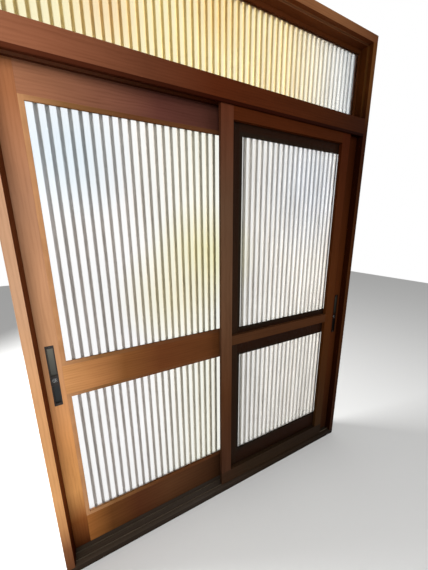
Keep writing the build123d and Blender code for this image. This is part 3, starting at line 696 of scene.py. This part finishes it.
# Screws in the pull plates, and brads along the glazing beads and battens
screwSettings = {
    "radius": 0.0024, "depth": 0.0006, "proud": 0.00012, "sides": 14,
    "shank": 0.55,  # of the radius
    "slotWidth": 0.0006, "slotDepth": 0.0003,
    "slotLength": 2.4,  # of the radius, so that it runs out at both sides
    "mostTurn": 3.1,  # radians
    "fromEnd": 0.0055,  # from the plate's end
    "seedStep": 7,
}
bradSettings = {
    "radius": 0.0008, "flat": 0.4, "spacing": 0.145, "sides": 8, "rings": 5,
    "beadLine": 0.00575,  # from the glass edge to the middle of its bead
    "beadSetback": 0.0084,  # from the glass to the bead's face
    "battenLine": 0.005,
    "transomTop": 0.006, "transomSide": 0.002,  # from the glass edge to the middle of the bead
    "transomFace": 0.009,
}
towardsRoom = (math.radians(90), 0, 0)
towardsOutside = (math.radians(-90), 0, 0)


def screwTree(s):
    tree = Tree("countersunkScrews", radius="Float", depth="Float", proud="Float", slotSize="Vector",
                facing="Vector", seed="Int", finish="Material")
    head = tree.add("GeometryNodeMeshCone",
                    {"Vertices": s["sides"], "Radius Top": "radius", "Depth": "depth"})
    shank = tree.add("ShaderNodeMath", {0: "radius", 1: s["shank"]}, operation="MULTIPLY")
    tree.tree.links.new(shank.outputs[0], head.inputs["Radius Bottom"])
    slot = tree.add("GeometryNodeMeshCube", {"Size": "slotSize"})
    top = tree.add("ShaderNodeCombineXYZ", {"Z": "depth"})
    lifted = tree.add("GeometryNodeTransform",
                      {"Geometry": slot.outputs[0], "Translation": top.outputs[0]})
    cut = tree.add("GeometryNodeMeshBoolean",
                   {"Mesh 1": head.outputs[0], "Mesh 2": lifted.outputs[0]}, operation="DIFFERENCE")
    sunk = tree.add("ShaderNodeMath", {0: "proud", 1: "depth"}, operation="SUBTRACT")
    down = tree.add("ShaderNodeCombineXYZ", {"Z": sunk.outputs[0]})
    seated = tree.add("GeometryNodeTransform",
                      {"Geometry": cut.outputs[0], "Translation": down.outputs[0]})
    turn = tree.add("FunctionNodeEulerToRotation", {"Euler": "facing"})
    placed = tree.add("GeometryNodeInstanceOnPoints", {
        "Points": "Geometry", "Instance": seated.outputs[0], "Rotation": turn.outputs[0]})
    spin = tree.add("FunctionNodeRandomValue", {"Max": (0, 0, s["mostTurn"]), "Seed": "seed"},
                    data_type="FLOAT_VECTOR")
    driven = tree.add("GeometryNodeRotateInstances", {
        "Instances": placed.outputs[0], "Rotation": spin.outputs[0], "Local Space": True})
    return tree.finish(driven.outputs[0])


def bradTree(s):
    tree = Tree("bradsRoundPath", radius="Float", size="Vector", spacing="Float", facing="Vector",
                finish="Material")
    path = tree.add("GeometryNodeMeshToCurve", {"Mesh": "Geometry"})
    spaced = tree.add("GeometryNodeResampleCurve", {"Curve": path.outputs[0], "Length": "spacing"},
                      mode="LENGTH")
    head = tree.add("GeometryNodeMeshUVSphere",
                    {"Segments": s["sides"], "Rings": s["rings"], "Radius": "radius"})
    turn = tree.add("FunctionNodeEulerToRotation", {"Euler": "facing"})
    placed = tree.add("GeometryNodeInstanceOnPoints", {
        "Points": spaced.outputs[0], "Instance": head.outputs[0], "Rotation": turn.outputs[0],
        "Scale": "size"})
    return tree.finish(placed.outputs[0])


def pointMesh(name, points, closed=False):
    mesh = bpy.data.meshes.new(name)
    count = len(points)
    edges = [(i, (i + 1) % count) for i in range(count)] if closed else []
    mesh.from_pydata(points, edges, [])
    return mesh


def rectangle(lowX, highX, y, lowZ, highZ):
    return [(lowX, y, lowZ), (highX, y, lowZ), (highX, y, highZ), (lowX, y, highZ)]


def makeScrews(s):
    tree = screwTree(s)
    slotSize = (s["slotLength"] * s["radius"], s["slotWidth"], 2 * s["slotDepth"])
    for number, side in enumerate(("left", "right")):
        meshes = []
        plates = ((side + "_lock_plate", towardsRoom), (side + "_outside_plate", towardsOutside))
        for node, facing in plates:
            low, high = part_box(node)
            x = (low.x + high.x) / 2
            y = low.y if facing == towardsRoom else high.y
            points = pointMesh(node, [(x, y, low.z + s["fromEnd"]), (x, y, high.z - s["fromEnd"])])
            meshes.append(tree.run(
                node, points, radius=s["radius"], depth=s["depth"], proud=s["proud"],
                slotSize=slotSize, facing=facing, seed=number * s["seedStep"] + len(meshes),
                finish=metals["darkScrew"]))
        piece = joinMeshes(side + "PlateScrews", meshes)
        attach(piece, side + "_door")
        print(piece.name + ":", len(piece.data.polygons), "faces")


def makeBrads(s):
    tree = bradTree(s)

    def bradRun(name, path, facing):
        return tree.run(name, pointMesh(name, path, True), radius=s["radius"], size=(1, 1, s["flat"]),
                        spacing=s["spacing"], facing=facing, finish=metals["brassBrad"])

    runs = {}
    for side in ("left", "right"):
        meshes = []
        for pane in ("lower", "upper"):
            low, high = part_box(side + "_" + pane + "_glass")
            d = s["beadLine"]
            path = rectangle(low.x + d, high.x - d, low.y - s["beadSetback"], low.z + d, high.z - d)
            meshes.append(bradRun(side + pane, path, towardsRoom))
        runs[side + "BeadBrads"] = (meshes, side + "_door")
    low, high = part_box("screen_battens")
    d = s["battenLine"]
    path = rectangle(low.x + d, high.x - d, high.y, low.z + d, high.z - d)
    runs["screenBrads"] = ([bradRun("screen", path, towardsOutside)], "screen")
    low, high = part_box("transom_glass")
    d = s["transomSide"]
    path = rectangle(low.x + d, high.x - d, low.y - s["transomFace"], low.z + d,
                     high.z - s["transomTop"])
    runs["transomBrads"] = ([bradRun("transom", path, towardsRoom)], "frame")
    for name, (meshes, body) in runs.items():
        piece = joinMeshes(name, meshes)
        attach(piece, body)
        print(name + ":", len(piece.data.polygons), "faces")


makeScrews(screwSettings)
makeBrads(bradSettings)


# Surroundings: a plain pale floor, a pale world and soft lamps
stageSettings = {
    "floorSize": 14,
    "floorColour": (0.80, 0.80, 0.79),
    "worldLight": 0.42,
    "keyPlace": (-1.25, -2.2, 1.9), "keyAim": (-0.3, 0, 1.2), "keySize": 1.3, "keyPower": 44,
    "fillPlace": (1.6, -2.6, 2.2), "fillAim": (0.2, 0, 1.1), "fillSize": 2.2, "fillPower": 26,
    "backPlace": (-2.3, 1.4, 1.9), "backAim": (0.3, 0, 1.2), "backSize": 1.6, "backPower": 180,
}


def glossOrGlass(tree):
    # 1 for a ray that metal mirrors or glass lets through
    path = tree.nodes.new("ShaderNodeLightPath")
    either = tree.nodes.new("ShaderNodeMath")
    either.operation = "MAXIMUM"
    tree.links.new(path.outputs["Is Glossy Ray"], either.inputs[0])
    tree.links.new(path.outputs["Is Transmission Ray"], either.inputs[1])
    return path, either.outputs[0]


def makeFloor(s):
    half = s["floorSize"] / 2
    corners = [(-half, -half, 0), (half, -half, 0), (half, half, 0), (-half, half, 0)]
    mesh = bpy.data.meshes.new("floor")
    mesh.from_pydata(corners, [], [(0, 1, 2, 3)])
    floor = bpy.data.objects.new("floor", mesh)
    bpy.context.scene.collection.objects.link(floor)
    material = bpy.data.materials.new("floor")
    material.use_nodes = True
    tree = material.node_tree
    tree.nodes.clear()
    output = tree.nodes.new("ShaderNodeOutputMaterial")
    matt = tree.nodes.new("ShaderNodeBsdfDiffuse")
    matt.inputs[0].default_value = (*s["floorColour"], 1)
    white = tree.nodes.new("ShaderNodeEmission")
    white.inputs[0].default_value = (1, 1, 1, 1)
    choose = tree.nodes.new("ShaderNodeMixShader")
    tree.links.new(glossOrGlass(tree)[1], choose.inputs[0])
    tree.links.new(matt.outputs[0], choose.inputs[1])
    tree.links.new(white.outputs[0], choose.inputs[2])
    tree.links.new(choose.outputs[0], output.inputs[0])
    mesh.materials.append(material)


def makeWorld(s):
    world = bpy.data.worlds.new("world")
    world.use_nodes = True
    tree = world.node_tree
    tree.nodes.clear()
    output = tree.nodes.new("ShaderNodeOutputWorld")
    soft = tree.nodes.new("ShaderNodeBackground")
    soft.inputs[0].default_value = (1, 1, 1, 1)
    soft.inputs[1].default_value = s["worldLight"]
    white = tree.nodes.new("ShaderNodeBackground")
    white.inputs[0].default_value = (1, 1, 1, 1)
    white.inputs[1].default_value = 1.0
    choose = tree.nodes.new("ShaderNodeMixShader")
    path, either = glossOrGlass(tree)
    seen = tree.nodes.new("ShaderNodeMath")
    seen.operation = "MAXIMUM"
    tree.links.new(path.outputs["Is Camera Ray"], seen.inputs[0])
    tree.links.new(either, seen.inputs[1])
    tree.links.new(seen.outputs[0], choose.inputs[0])
    tree.links.new(soft.outputs[0], choose.inputs[1])
    tree.links.new(white.outputs[0], choose.inputs[2])
    tree.links.new(choose.outputs[0], output.inputs[0])
    bpy.context.scene.world = world


def makeLamp(name, place, aim, size, power):
    data = bpy.data.lights.new(name, "AREA")
    data.shape = "SQUARE"
    data.size = size
    data.energy = power
    lamp = bpy.data.objects.new(name, data)
    lamp.location = place
    lamp.rotation_euler = (Vector(aim) - Vector(place)).to_track_quat("-Z", "Y").to_euler()
    lamp.visible_camera = False
    lamp.visible_transmission = False
    bpy.context.scene.collection.objects.link(lamp)


makeFloor(stageSettings)
makeWorld(stageSettings)
for lampName in ("key", "fill", "back"):
    makeLamp(lampName, *(stageSettings[lampName + part] for part in ("Place", "Aim", "Size", "Power")))
bpy.context.scene.view_settings.view_transform = "Standard"
print("stage set")
